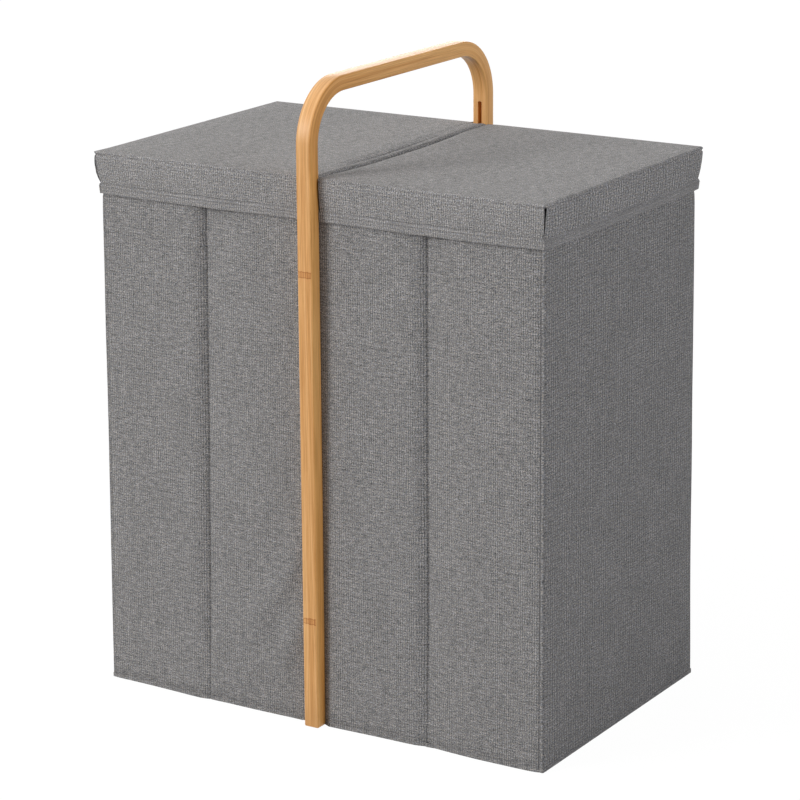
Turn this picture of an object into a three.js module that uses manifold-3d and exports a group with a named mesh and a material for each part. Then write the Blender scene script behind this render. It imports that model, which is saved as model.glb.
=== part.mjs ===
// Laundry hamper with two bins: a cloth bag on boards, two hinged lids and a bent bamboo arch.
// Millimetres. X runs along the front, the front faces -Y, +Z is up.
// The origin is the middle of the footprint, on the floor.

import * as THREE from "three";
import { mergeVertices } from "three/addons/utils/BufferGeometryUtils.js";
import Module from "manifold-3d";

const wasm = await Module();
wasm.setup();

// Bag walls, each a board in a cloth pocket
const bagWidth = 536;
const bagDepth = 333;
const wallHeight = 577;
const wallThickness = 5;
const wallCloth = 0.8;
const panelEdgeRadius = 1.2;
const bagCornerRadius = 3.6;

// Floor of the bag
const bottomCloth = 1.2;
const baseBoardThickness = 2.7;

// Lids
const lidThickness = 4;
const lidCloth = 0.8;
const lidEdgeRadius = 1.2;
const lidDrop = 46;
const lidRestGap = 0.5;
const lidSidePlay = 0.5;
const lidFrontPlay = 2.7;

// Skirt of a lid: three stiffened flaps and the hem band that joins them
const skirtCloth = 0.5;
const skirtStiffener = 0.6;
const skirtSlit = 1.2;
const skirtEdgeRadius = 0.4;
const hemHeight = 11.5;
const hemCloth = 0.6;

// Bamboo arch
const barWidth = 17;
const barThickness = 16;
const barEdgeRadius = 1.5;
const bendOuterRadius = 65;
const handleRise = 98.4;
const legGap = 0.5;

// Groove in the inner face of each leg, and what lies in it
const grooveWidth = 5;
const grooveDepth = 8;
const grooveRise = 26;
const kederPlay = 0.4;
const stopHeight = 10;
const stopLift = 1;

// Clearances: between pieces that touch, round a board in its pocket, and past a cut face
const seamGap = 0.3;
const boardPlay = 0.3;
const cutOverrun = 5;

// Steps in a bend of the bar and in a small rounded corner
const bendSteps = 9;
const cornerSteps = 4;
const edgeSteps = 2;

// Places that follow from the sizes
const halfWidth = bagWidth / 2;
const halfDepth = bagDepth / 2;
const bagCorner = Math.min(bagCornerRadius, wallThickness - wallCloth - 2 * boardPlay);
const wallBottom = bottomCloth + seamGap + baseBoardThickness + seamGap;
const rim = wallBottom + wallHeight;
const centreFace = seamGap / 2 + wallThickness;
const sideFace = halfWidth - wallThickness;
const crease = (centreFace + sideFace) / 2;
const panelInnerFace = halfDepth - wallThickness;

const lidUnderside = rim + lidRestGap;
const lidTop = lidUnderside + lidThickness;
const skirtTop = lidUnderside - seamGap;
const skirtBottom = lidTop - lidDrop;
const skirtThickness = 2 * (skirtCloth + boardPlay) + skirtStiffener;
const skirtOuterX = halfWidth + lidSidePlay + skirtThickness;
const skirtOuterY = halfDepth + lidFrontPlay + skirtThickness;
const lidOuterX = skirtOuterX + seamGap + hemCloth;
const lidOuterY = skirtOuterY + seamGap + hemCloth;
const lidHinge = barWidth / 2 + legGap;

const legInner = halfDepth + legGap;
const legOuter = legInner + barThickness;
const archTop = lidTop + handleRise;
const grooveTop = lidTop + grooveRise;
const stopTop = stopLift + stopHeight;

// Materials
function finish(color, roughness) {
  return new THREE.MeshStandardMaterial({ color, roughness, metalness: 0 });
}

const greyCloth = () => finish("#817e7f", 0.95);
const darkCloth = () => finish("#2b2b2e", 0.95);
const board = () => finish("#a58a68", 0.85);
const bamboo = () => finish("#c79a68", 0.55);
const edging = () => finish("#3b2c22", 0.8);

// Shapes in plan: a rectangle whose four corners are rounded, each by its own radius
function rectangle([x0, x1], [y0, y1], radii) {
  const corners = [
    [x0, y0, 1, 1, Math.PI],
    [x1, y0, -1, 1, 1.5 * Math.PI],
    [x1, y1, -1, -1, 0],
    [x0, y1, 1, -1, 0.5 * Math.PI],
  ];
  const points = corners.flatMap(([x, y, inX, inY, start], index) => {
    const radius = radii[index];
    const centre = new THREE.Vector2(x + inX * radius, y + inY * radius);
    return radius > 0 ? quarterTurn(centre, radius, start) : [centre];
  });
  return new THREE.Shape(points);
}

function quarterTurn(centre, radius, start) {
  return Array.from({ length: cornerSteps + 1 }, (_, step) => {
    const angle = start + (step / cornerSteps) * (Math.PI / 2);
    return new THREE.Vector2(Math.cos(angle), Math.sin(angle)).multiplyScalar(radius).add(centre);
  });
}

function evenCorners(radius) {
  return [radius, radius, radius, radius];
}

// Corner radii of a piece on one side of the bag: round at the outside, square at the inside
function outsideCorners(side, radius) {
  return side > 0 ? [0, radius, radius, 0] : [radius, 0, 0, radius];
}

function raised(shape, [z0, z1]) {
  const geometry = new THREE.ExtrudeGeometry(shape, {
    depth: z1 - z0,
    bevelEnabled: false,
    curveSegments: cornerSteps,
  });
  return geometry.translate(0, 0, z0);
}

// A plate whose top and bottom edges are rounded too, with twice that radius in plan
function softPlate(x, y, [z0, z1], radius) {
  const shape = rectangle(x, y, evenCorners(2 * radius));
  const geometry = new THREE.ExtrudeGeometry(shape, {
    depth: z1 - z0 - 2 * radius,
    bevelThickness: radius,
    bevelSize: radius,
    bevelOffset: -radius,
    bevelSegments: edgeSteps,
    curveSegments: cornerSteps,
  });
  return geometry.translate(0, 0, z0 + radius);
}

function block([x0, x1], [y0, y1], [z0, z1]) {
  const geometry = new THREE.BoxGeometry(x1 - x0, y1 - y0, z1 - z0);
  return geometry.translate((x0 + x1) / 2, (y0 + y1) / 2, (z0 + z1) / 2);
}

// Turning a geometry into a solid, without the triangles that merging flattened, and back
function solid(geometry) {
  const bare = geometry.clone();
  bare.deleteAttribute("normal");
  bare.deleteAttribute("uv");
  const merged = mergeVertices(bare);
  const corners = merged.index.array;
  const kept = [];
  for (let first = 0; first < corners.length; first += 3) {
    const triangle = corners.slice(first, first + 3);
    if (new Set(triangle).size === 3) {
      kept.push(...triangle);
    }
  }
  return new wasm.Manifold(
    new wasm.Mesh({
      numProp: 3,
      vertProperties: new Float32Array(merged.attributes.position.array),
      triVerts: new Uint32Array(kept),
    }),
  );
}

function geometryOf(body) {
  const mesh = body.getMesh();
  const geometry = new THREE.BufferGeometry();
  geometry.setAttribute("position", new THREE.BufferAttribute(mesh.vertProperties, 3));
  geometry.setIndex(new THREE.BufferAttribute(mesh.triVerts, 1));
  geometry.computeVertexNormals();
  return geometry;
}

function cut(geometry, ...tools) {
  const left = tools.reduce((body, tool) => body.subtract(solid(tool)), solid(geometry));
  return geometryOf(left);
}

// A span on one side of the middle: side is -1 or 1, and near and far are distances
function span(side, near, far) {
  return side > 0 ? [near, far] : [-far, -near];
}

function both(far) {
  return [-far, far];
}

function inset([low, high], by) {
  return [low + by, high - by];
}

const hamper = new THREE.Group();

function add(name, material, geometry) {
  const mesh = new THREE.Mesh(geometry, material);
  mesh.name = name;
  hamper.add(mesh);
}

// Bag walls: a pocket of cloth, open at its foot, with its board inside
function wallPanel(name, x, y, radiiFor) {
  const z = [wallBottom, rim];
  const pocketTop = rim - wallCloth;
  const play = wallCloth + boardPlay;
  const pocket = rectangle(inset(x, wallCloth), inset(y, wallCloth), radiiFor(wallCloth));
  const outside = raised(rectangle(x, y, radiiFor(0)), z);
  const hollow = raised(pocket, [wallBottom - cutOverrun, pocketTop]);
  add(`${name}_cover`, greyCloth(), cut(outside, hollow));
  const inside = rectangle(inset(x, play), inset(y, play), radiiFor(play));
  add(`${name}_board`, board(), raised(inside, [wallBottom + boardPlay, pocketTop - boardPlay]));
}

function panelCorners(depth) {
  return evenCorners(Math.max(panelEdgeRadius - depth, 0));
}

function binWalls(side, binName) {
  const centreX = span(side, seamGap / 2, centreFace);
  wallPanel(`${binName}_centre_wall`, centreX, both(halfDepth), panelCorners);
  for (const [face, faceName] of [[-1, "front"], [1, "back"]]) {
    const y = span(face, panelInnerFace, halfDepth);
    const innerX = span(side, centreFace + seamGap, crease - seamGap);
    const outerX = span(side, crease + seamGap, sideFace - seamGap);
    wallPanel(`${binName}_${faceName}_inner_wall`, innerX, y, panelCorners);
    wallPanel(`${binName}_${faceName}_outer_wall`, outerX, y, panelCorners);
  }
  const cornersAt = (depth) => outsideCorners(side, bagCorner - depth);
  wallPanel(`${binName}_side_wall`, span(side, sideFace, halfWidth), both(halfDepth), cornersAt);
}

// Floor of the bag: a shallow cloth tray, and one loose board for each bin
function bagFloor() {
  const outline = rectangle(both(halfWidth), both(halfDepth), evenCorners(bagCorner));
  const lip = evenCorners(bagCorner - bottomCloth);
  const x = both(halfWidth - bottomCloth);
  const y = both(halfDepth - bottomCloth);
  const lipTop = wallBottom - seamGap;
  const tray = raised(outline, [0, lipTop]);
  const hollow = raised(rectangle(x, y, lip), [bottomCloth, lipTop + cutOverrun]);
  add("bottom_cloth", darkCloth(), cut(tray, hollow));
}

function baseBoard(side, binName) {
  const edge = bottomCloth + boardPlay;
  const low = bottomCloth + seamGap;
  const x = span(side, seamGap / 2, halfWidth - edge);
  const y = both(halfDepth - edge);
  const plan = rectangle(x, y, outsideCorners(side, bagCorner - edge));
  add(`${binName}_base_board`, board(), raised(plan, [low, low + baseBoardThickness]));
}

// Lids: a covered board with a skirt of three flaps, joined along the foot by a hem band
function lid(side, binName) {
  const name = `${binName}_lid`;
  const x = span(side, lidHinge, lidOuterX);
  const y = both(lidOuterY);
  const plate = softPlate(x, y, [lidUnderside, lidTop], lidEdgeRadius);
  const pocketX = span(side, lidHinge - cutOverrun, lidOuterX - lidCloth);
  const pocketZ = inset([lidUnderside, lidTop], lidCloth);
  add(`${name}_cover`, greyCloth(), cut(plate, block(pocketX, inset(y, lidCloth), pocketZ)));
  const play = lidCloth + boardPlay;
  const boardX = span(side, lidHinge + boardPlay, lidOuterX - play);
  add(`${name}_board`, board(), block(boardX, inset(y, play), inset(pocketZ, boardPlay)));

  const flapX = span(side, lidHinge, skirtOuterX - skirtSlit);
  const flapY = skirtOuterY - skirtThickness;
  skirtFlap(`${name}_front_skirt`, flapX, [-skirtOuterY, -flapY]);
  skirtFlap(`${name}_back_skirt`, flapX, [flapY, skirtOuterY]);
  const sideX = span(side, skirtOuterX - skirtThickness, skirtOuterX);
  skirtFlap(`${name}_side_skirt`, sideX, both(flapY - skirtSlit));
  add(`${name}_hem`, greyCloth(), hemBand(side));
}

function skirtFlap(name, x, y) {
  const z = [skirtBottom, skirtTop];
  const plan = rectangle(x, y, evenCorners(skirtEdgeRadius));
  const pocket = block(inset(x, skirtCloth), inset(y, skirtCloth), [
    skirtBottom - cutOverrun,
    skirtTop - skirtCloth,
  ]);
  add(`${name}_cover`, greyCloth(), cut(raised(plan, z), pocket));
  const play = skirtCloth + boardPlay;
  const stiffenerZ = [skirtBottom + boardPlay, skirtTop - play];
  add(`${name}_stiffener`, board(), block(inset(x, play), inset(y, play), stiffenerZ));
}

function hemBand(side) {
  const innerX = lidOuterX - hemCloth;
  const innerY = lidOuterY - hemCloth;
  const outline = [
    [lidHinge, -lidOuterY],
    [lidOuterX, -lidOuterY],
    [lidOuterX, lidOuterY],
    [lidHinge, lidOuterY],
    [lidHinge, innerY],
    [innerX, innerY],
    [innerX, -innerY],
    [lidHinge, -innerY],
  ];
  const points = outline.map(([x, y]) => new THREE.Vector2(side * x, y));
  return raised(new THREE.Shape(points), [skirtBottom, skirtBottom + hemHeight]);
}

// Strip of cloth that covers the middle of the bag, between the two lids
function centreStrip() {
  const x = both(lidHinge - seamGap);
  const strip = softPlate(x, both(halfDepth), [rim + seamGap, lidTop], lidEdgeRadius);
  add("centre_strip", greyCloth(), strip);
}

// Bamboo arch: one bent bar that stands on its two feet, grooved along both legs
function archOutline() {
  const innerRadius = bendOuterRadius - barThickness;
  const bendY = legOuter - bendOuterRadius;
  const bendZ = archTop - bendOuterRadius;
  const shape = new THREE.Shape();
  shape.moveTo(legInner, 0);
  shape.lineTo(legOuter, 0);
  shape.absarc(bendY, bendZ, bendOuterRadius, 0, Math.PI / 2, false);
  shape.absarc(-bendY, bendZ, bendOuterRadius, Math.PI / 2, Math.PI, false);
  shape.lineTo(-legOuter, 0);
  shape.lineTo(-legInner, 0);
  shape.absarc(-bendY, bendZ, innerRadius, Math.PI, Math.PI / 2, true);
  shape.absarc(bendY, bendZ, innerRadius, Math.PI / 2, 0, true);
  return shape;
}

function archBar() {
  const geometry = new THREE.ExtrudeGeometry(archOutline(), {
    depth: barWidth - 2 * barEdgeRadius,
    bevelThickness: barEdgeRadius,
    bevelSize: barEdgeRadius,
    bevelOffset: -barEdgeRadius,
    bevelSegments: edgeSteps,
    curveSegments: bendSteps,
  });
  geometry.translate(0, 0, barEdgeRadius - barWidth / 2);
  const alongX = new THREE.Vector3(1, 0, 0);
  const alongY = new THREE.Vector3(0, 1, 0);
  const up = new THREE.Vector3(0, 0, 1);
  return geometry.applyMatrix4(new THREE.Matrix4().makeBasis(alongY, up, alongX));
}

// The groove is open at the foot and ends in a half round above the lids
function groove(face) {
  const radius = grooveWidth / 2;
  const shape = new THREE.Shape();
  shape.moveTo(-radius, -cutOverrun);
  shape.lineTo(radius, -cutOverrun);
  shape.absarc(0, grooveTop - radius, radius, 0, Math.PI, false);
  const [, far] = span(face, legInner - cutOverrun, legInner + grooveDepth);
  const geometry = new THREE.ExtrudeGeometry(shape, {
    depth: cutOverrun + grooveDepth,
    bevelEnabled: false,
    curveSegments: cornerSteps,
  });
  const alongX = new THREE.Vector3(1, 0, 0);
  const up = new THREE.Vector3(0, 0, 1);
  const towardsFront = new THREE.Vector3(0, -1, 0);
  geometry.applyMatrix4(new THREE.Matrix4().makeBasis(alongX, up, towardsFront));
  return geometry.translate(0, far, 0);
}

function arch() {
  add("bamboo_arch", bamboo(), cut(archBar(), groove(-1), groove(1)));
}

// In each groove an edging strip, sewn to the bag, stands on a stop at the foot
function grooveFittings(face, faceName) {
  const floor = legInner + grooveDepth - seamGap;
  const stripX = both((grooveWidth - kederPlay) / 2);
  const strip = block(stripX, span(face, halfDepth + seamGap, floor), [stopTop + seamGap, rim]);
  add(`${faceName}_edging_strip`, edging(), strip);
  const stopX = both(grooveWidth / 2 - seamGap);
  const stop = block(stopX, span(face, legInner, floor), [stopLift, stopTop]);
  add(`${faceName}_groove_stop`, edging(), stop);
}

arch();
grooveFittings(-1, "front");
grooveFittings(1, "back");
centreStrip();
bagFloor();
for (const [side, binName] of [[-1, "left"], [1, "right"]]) {
  baseBoard(side, binName);
  binWalls(side, binName);
  lid(side, binName);
}

export default hamper;
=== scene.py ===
import math

import bmesh
import bpy
from mathutils import Matrix, Vector, noise


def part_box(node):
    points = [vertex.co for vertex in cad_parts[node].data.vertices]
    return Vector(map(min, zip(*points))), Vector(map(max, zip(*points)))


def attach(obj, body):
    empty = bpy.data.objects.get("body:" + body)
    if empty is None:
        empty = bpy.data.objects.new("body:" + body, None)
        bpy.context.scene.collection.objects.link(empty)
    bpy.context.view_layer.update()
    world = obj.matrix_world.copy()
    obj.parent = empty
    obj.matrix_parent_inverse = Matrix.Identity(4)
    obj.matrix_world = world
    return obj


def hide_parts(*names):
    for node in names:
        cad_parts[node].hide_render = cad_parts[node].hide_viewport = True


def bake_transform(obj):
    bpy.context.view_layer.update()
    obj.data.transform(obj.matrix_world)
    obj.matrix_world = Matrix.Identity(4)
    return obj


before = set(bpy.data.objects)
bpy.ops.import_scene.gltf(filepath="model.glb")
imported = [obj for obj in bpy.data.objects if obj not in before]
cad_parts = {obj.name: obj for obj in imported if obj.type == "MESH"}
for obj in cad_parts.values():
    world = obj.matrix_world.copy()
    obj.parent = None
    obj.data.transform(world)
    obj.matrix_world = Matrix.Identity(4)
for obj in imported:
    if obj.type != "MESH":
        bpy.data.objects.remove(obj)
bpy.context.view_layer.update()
scene = bpy.context.scene

# Metres. X runs along the front, the front faces -Y, +Z is up.
mm = 0.001
bins = ((-1, "left"), (1, "right"))  # side of the middle, name

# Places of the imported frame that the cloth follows
side_wall_low, side_wall_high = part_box("right_side_wall_cover")
inner_wall_low, inner_wall_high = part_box("right_front_inner_wall_cover")
outer_wall_low, outer_wall_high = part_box("right_front_outer_wall_cover")
centre_wall_low, centre_wall_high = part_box("right_centre_wall_cover")
lid_low, lid_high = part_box("right_lid_cover")
hem_low, hem_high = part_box("right_lid_hem")
strip_low, strip_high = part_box("centre_strip")
arch_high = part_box("bamboo_arch")[1]
tray_low, tray_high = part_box("bottom_cloth")
base_low, base_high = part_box("right_base_board")

half_width = side_wall_high.x
half_depth = side_wall_high.y
side_face = side_wall_low.x
wall_foot = side_wall_low.z
rim = side_wall_high.z
wall_thickness = half_width - side_face
panel_inner_face = half_depth - wall_thickness
crease = (inner_wall_high.x + outer_wall_low.x) / 2
lid_hinge = lid_low.x

# Shape of the filled bag: it flares to the floor, and its panels swell between their seams
rim_draw_x = 0.9 * mm
rim_draw_y = 0.45 * mm
under_skirt = 1.7 * mm
under_skirt_from = (534 * mm, 552 * mm)
flare = 3.5 * mm
crease_dip = 7.0 * mm
seam_shift = 2.2 * mm
corner_dip = {-1: 0.5 * mm, 1: 2.8 * mm}  # by side
steep_reach, steep_power = 24 * mm, 2.7
gentle_reach, gentle_power = 62 * mm, 1.7
least_thickness = 1.8 * mm
foot_dip_share = 0.6
foot_dip_height = 150 * mm
seam_pinch = 0.5 * mm
pinch_reach = 1.4 * mm
leg_hold = (7 * mm, 14 * mm)
end_still, end_loose, end_flush = 4 * mm, 30 * mm, 6 * mm
side_corner_radius = 2.8 * mm
rim_radius = 1.1 * mm
seam_radius = 0.3 * mm

# The bag's bottom, near black underneath and along the foot, light higher on its lip, and the loose bases
# over it
tray_thickness = 1.2 * mm
tray_edge_radius = 0.15 * mm
dark_height = 1.3 * mm
lip_reach = 40 * mm
base_inner_gap, base_outer_gap, base_end_gap = 0.3 * mm, 1.2 * mm, 1.5 * mm
base_edge_radius = 0.9 * mm

# Near the floor the front and back swell beside the leg and at the creases: how far at each
swell_top, swell_power = 500 * mm, 1.4
leg_swell_from, leg_swell_reach, crease_swell_reach = 12 * mm, 50 * mm, 42 * mm
back_swell = (1.5 * mm, 2.0 * mm)
front_right_swell = (2.6 * mm, 0)
front_left_swell = (1.2 * mm, 6.0 * mm)

# Slack folds of the left front: x and z of the foot and length of each, and the way that they run
slack_fold_feet = ((-78 * mm, 89 * mm, 100 * mm), (-42 * mm, 65 * mm, 52 * mm))
slack_way_x, slack_way_z = 0.55, 0.83
slack_fold_rise = 3.8 * mm
slack_fold_below, slack_fold_above = 7 * mm, 20 * mm
slack_fold_start = (-25 * mm, 20 * mm)
slack_fold_end = 30 * mm

# Lids and their skirts
lid_top = lid_high.z + 1.3 * mm
skirt_foot = hem_low.z + 2.7 * mm
lid_fold_radius = 1.9 * mm
lid_edge_radius = 0.4 * mm
skirt_inset = 0.2 * mm
skirt_thickness = 1.3 * mm
skirt_swell, skirt_swell_power = 0.9 * mm, 0.6
skirt_draw_side = 2.6 * mm
skirt_draw_front = 3.8 * mm
skirt_draw_power = 1.15
corner_draw = 1.6 * mm
corner_draw_reach = 30 * mm
corner_swell_loss = 0.35
corner_blend = 50 * mm
corner_rounds = (0.5, 0.8)
fold_press = 0.9 * mm
fold_press_height = 3 * mm
hem_tuck = 0.7 * mm
hem_tuck_reach = 1.1 * mm
lid_crown = 0.9 * mm
lid_edge_roll = 1.3 * mm
edge_roll_reach = 22 * mm
# The slit between two flaps is widest at its top, and closes above the hem
slit_width = 3.6 * mm
slit_reach = 14 * mm
slit_share = 0.4  # what is left of it lower down
slit_narrows, slit_closes = (0.02, 0.25), (0.6, 0.8)
# The left skirt stands off at its front corner, above the hem
loose_flap_bulge = 3.2 * mm
loose_flap_reach = 45 * mm
loose_flap_start = 1.5 * mm
loose_flap_shares = (0.55, 0.82)
inner_end_gap = 1.3 * mm
inner_end_reach = 12 * mm
hem_sag = 0.8 * mm
hem_height = 9.2 * mm
hem_thickness = 1.0 * mm
hem_stand_off = hem_thickness + 0.15 * mm
hem_end, hem_end_tuck = (-1.0 * mm, 0.2 * mm), hem_thickness + 0.1 * mm
hem_corner_radius = 4.0 * mm
hem_seam_depth = 0.35 * mm
hem_seam_reach = 0.8 * mm
# Levels of the band's rows of vertices, in mm above the foot of the skirt
hem_rows = (-0.3, 0.4, 1.5, 3.8, 5.8, 6.4, 7.1, 7.8, 8.4, 9.3, 9.9, 10.5)
stitch_height = 7.1 * mm
stitch_pitch = 3.6 * mm
stitch_length = 2.3 * mm
stitch_thickness = 0.45 * mm
stitch_stand_off = hem_thickness - 0.05 * mm

# The strip between the lids: it falls from the left lid to a groove in its middle, rises over a cord and
# ends at the right lid's hinge, which sags between the legs
cord_rise = 0.7 * mm
cord_groove = 0.4 * mm
groove_rise = 2.8 * mm
groove_reach = 0.9 * mm
hinge_low = 583.2 * mm
hinge_low_y = -15 * mm
hinge_rise = 2.6 * mm
hinge_rise_reach = 110 * mm
left_hinge_step, least_step = 0.5 * mm, 0.4 * mm
strip_left_gap, strip_right_gap = 0.2 * mm, 0.4 * mm
hinge_roll = {-1: (5 * mm, 2.0), 1: (16 * mm, 1.6)}  # by side: width and power

# Bamboo arch
bar_thickness = 16 * mm
bend_outer_radius = 65 * mm
bar_edge_radius = 1.5 * mm
groove_width = 5 * mm
groove_depth = 8 * mm
groove_top = 612 * mm
knot_height = 118 * mm
knot_spacing = 371 * mm
side_face_map = 31 * mm
foot_edge_radius = 1.0 * mm
leg_steps, bend_steps, rail_steps = 12, 18, 6

# The weave's map starts elsewhere on the sides, so that they don't show the front's threads
weave_start_y, weave_start_z = 1.37, 0.31

# Edges are shown sharp above these angles, and rounded above the last one
cloth_sharp_angle = math.radians(50)
bar_sharp_angle = math.radians(35)
edge_angle = 1.0

# Camera and stage
camera_place = Vector((1675.9, -2697.4, 1211.0)) * mm
camera_turn = [math.radians(angle) for angle in (74.2172, 0.3655, 31.7656)]
camera_lens = 138.26
lamp_aim = Vector((0, 0, 0.3))
lamps = (  # name, place, width, watts, colour
    ("key_light", (-4.20, -6.23, 3.04), 2.6, 458, (1.0, 0.985, 0.968)),
    ("fill_light", (4.7, -0.8, 2.3), 3.0, 128, (0.985, 0.985, 1.0)),
    ("overhead_light", (-1.7, -0.8, 3.9), 4.8, 122, (1.0, 0.985, 0.955)),
    ("rear_light", (-2.6, 5.2, 1.7), 3.2, 106, (1.0, 0.99, 0.975)),
)
world_strength = 0.06
floor_drop = 0.2 * mm
floor_shade = 0.5
floor_glow = 1.06
glow_share = 0.92


def fade(value, low, high):
    """0 below low, 1 above high, and smooth between them."""
    share = min(max((value - low) / (high - low), 0), 1)
    return share * share * (3 - 2 * share)


def bell(offset, reach):
    return math.exp(-((offset / reach) ** 2))


def waves(a, b, seed, broad=0.75 * mm, fine=0.12 * mm):
    """Slow unevenness of cloth over a board, at a place (a, b) in its plane."""
    slow = noise.noise(Vector((a / (75 * mm), b / (110 * mm), seed)))
    quick = noise.noise(Vector((a / (24 * mm), b / (34 * mm), seed + 7.3)))
    return broad * slow + fine * quick


# Materials


class Nodes:
    """A node tree under construction: nodes are added with links from earlier ones."""

    def __init__(self, tree):
        self.tree = tree

    def node(self, kind, inputs=(), **settings):
        made = self.tree.nodes.new(kind)
        for key, value in settings.items():
            setattr(made, key, value)
        for socket, value in dict(inputs).items():
            self.feed(made.inputs[socket], value)
        return made

    def feed(self, socket, value):
        if isinstance(value, bpy.types.NodeSocket):
            self.tree.links.new(value, socket)
        else:
            socket.default_value = value

    def math(self, operation, *values):
        inputs = dict(enumerate(values))
        return self.node("ShaderNodeMath", inputs, operation=operation).outputs[0]


class Finish(Nodes):
    """A procedural material under construction."""

    def __init__(self, name):
        self.material = bpy.data.materials.new(name)
        self.material.use_nodes = True
        super().__init__(self.material.node_tree)
        self.shader = self.tree.nodes["Principled BSDF"]

    def scaled(self, vector, *sizes):
        """A map in which these sizes along its directions count as one."""
        inputs = {"Vector": vector, "Scale": [1 / size for size in sizes]}
        return self.node("ShaderNodeMapping", inputs).outputs[0]

    def grain(self, vector, width, length, depth=1, detail=2.0, roughness=0.5):
        """Noise with grains of a width, a length and a depth, in metres."""
        place = self.scaled(vector, width, length, depth)
        inputs = {"Vector": place, "Scale": 1.0, "Detail": detail, "Roughness": roughness}
        return self.node("ShaderNodeTexNoise", inputs).outputs[0]

    def ramp(self, factor, *marks):
        made = self.node("ShaderNodeValToRGB", {"Fac": factor})
        elements = made.color_ramp.elements
        while len(elements) < len(marks):
            elements.new(0.5)
        for element, (position, color) in zip(elements, marks):
            element.position = position
            element.color = color
        return made.outputs[0]

    def mix(self, share, a, b):
        """Colour a, multiplied by b to a share."""
        made = self.node("ShaderNodeMix", {0: share}, data_type="RGBA", blend_type="MULTIPLY")
        self.feed(made.inputs[6], a)
        self.feed(made.inputs[7], b)
        return made.outputs[2]

    def weave_map(self):
        return self.node("ShaderNodeUVMap", uv_map="weave").outputs[0]

    def surface(self, color, roughness, specular=0.5):
        self.feed(self.shader.inputs["Base Color"], color)
        self.shader.inputs["Roughness"].default_value = roughness
        self.shader.inputs["Specular IOR Level"].default_value = specular

    def bump(self, height, distance, strength):
        inputs = {"Height": height, "Distance": distance, "Strength": strength}
        self.feed(self.shader.inputs["Normal"], self.node("ShaderNodeBump", inputs).outputs[0])


def grey(level, warmth=0.0):
    """A linear grey, slightly warm or cool."""
    return (level * (1 + warmth), level, level * (1 - warmth), 1)


def melange_cloth(name, level, contrast=1.0, slubs=0.0, wide=1.0):
    """Linen-look cloth: ribs of warp and weft that come and go, thicker slubs across them, and single
    fibres, warm or bluish. Its warp can be wider than the front's."""
    cloth = Finish(name)
    along = cloth.scaled(cloth.weave_map(), wide, 1, 1)
    places = cloth.node("ShaderNodeSeparateXYZ", {"Vector": along}).outputs

    def ribs(direction, pitch, width, length, size, sway=6.0):
        """Threads at a pitch, shifted by a noise that changes over a width and a length."""
        shift = cloth.grain(along, width, length, detail=1)
        shifted = cloth.math("MULTIPLY", shift, sway)
        phase = cloth.math("MULTIPLY_ADD", places[direction], 2 * math.pi / pitch, shifted)
        return cloth.math("MULTIPLY", cloth.math("SINE", phase), size)

    warp = ribs(0, 2.6 * mm, 3 * mm, 13 * mm, 0.040)
    second_warp = ribs(0, 2.2 * mm, 2.5 * mm, 9 * mm, 0.024)
    weft = ribs(1, 3.0 * mm, 12 * mm, 5 * mm, 0.024, sway=10.0)
    threads = cloth.math("ADD", cloth.math("ADD", warp, second_warp), weft)
    flecks = cloth.grain(along, 1.0 * mm, 1.3 * mm, detail=0)
    fibres = cloth.grain(along, 1.6 * mm, 1.8 * mm)
    patches = cloth.grain(along, 30 * mm, 38 * mm)
    thick = cloth.grain(along, 8 * mm, 4 * mm)
    fleck_share = 0.44
    plain = cloth.math("MULTIPLY_ADD", flecks, fleck_share, threads)
    level_to_middle = (1 - fleck_share - slubs) / 2
    streaks = cloth.math("ADD", cloth.math("MULTIPLY_ADD", thick, slubs, plain), level_to_middle)
    reach = 0.13 / contrast
    body = cloth.ramp(
        streaks,
        (0.5 - reach, grey(level * 0.30, -0.030)),
        (0.5 - 0.3 * reach, grey(level * 0.78, -0.006)),
        (0.5 + 0.3 * reach, grey(level * 1.16, 0.012)),
        (0.5 + reach, grey(level * 2.0, 0.026)),
    )
    tint = cloth.ramp(fibres, (0.34, (0.90, 0.96, 1.10, 1)), (0.66, (1.10, 1.02, 0.92, 1)))
    tinted = cloth.mix(0.8, body, tint)
    shade = cloth.ramp(patches, (0.3, grey(0.95)), (0.7, grey(1.05)))
    cloth.surface(cloth.mix(1.0, tinted, shade), roughness=0.95, specular=0.15)
    cloth.shader.inputs["Sheen Weight"].default_value = 0.05
    cloth.bump(threads, 0.25 * mm, strength=0.1)
    return cloth.material


def plain_cloth(name, color, pitch=0.7 * mm):
    """A close, even cloth in one colour, with its threads at a pitch."""
    cloth = Finish(name)
    along = cloth.weave_map()
    warp = cloth.grain(along, pitch, 6 * pitch)
    weft = cloth.grain(along, 6 * pitch, pitch)
    threads = cloth.math("MULTIPLY", cloth.math("ADD", warp, weft), 0.5)
    dark = tuple(channel * 0.72 for channel in color) + (1,)
    light = tuple(channel * 1.28 for channel in color) + (1,)
    cloth.surface(cloth.ramp(threads, (0.36, dark), (0.64, light)), roughness=0.92, specular=0.15)
    cloth.bump(threads, 0.3 * mm, strength=0.5)
    return cloth.material


def fibre_board(name):
    """Pressed board: chips of light and dark fibre."""
    wood = Finish(name)
    place = wood.node("ShaderNodeTexCoord").outputs["Object"]
    chips = wood.grain(place, 3 * mm, 3 * mm, 3 * mm, detail=4)
    color = wood.ramp(chips, (0.35, (0.24, 0.15, 0.08, 1)), (0.65, (0.46, 0.32, 0.19, 1)))
    wood.surface(color, roughness=0.85)
    wood.bump(chips, 0.2 * mm, strength=0.4)
    return wood.material


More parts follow.
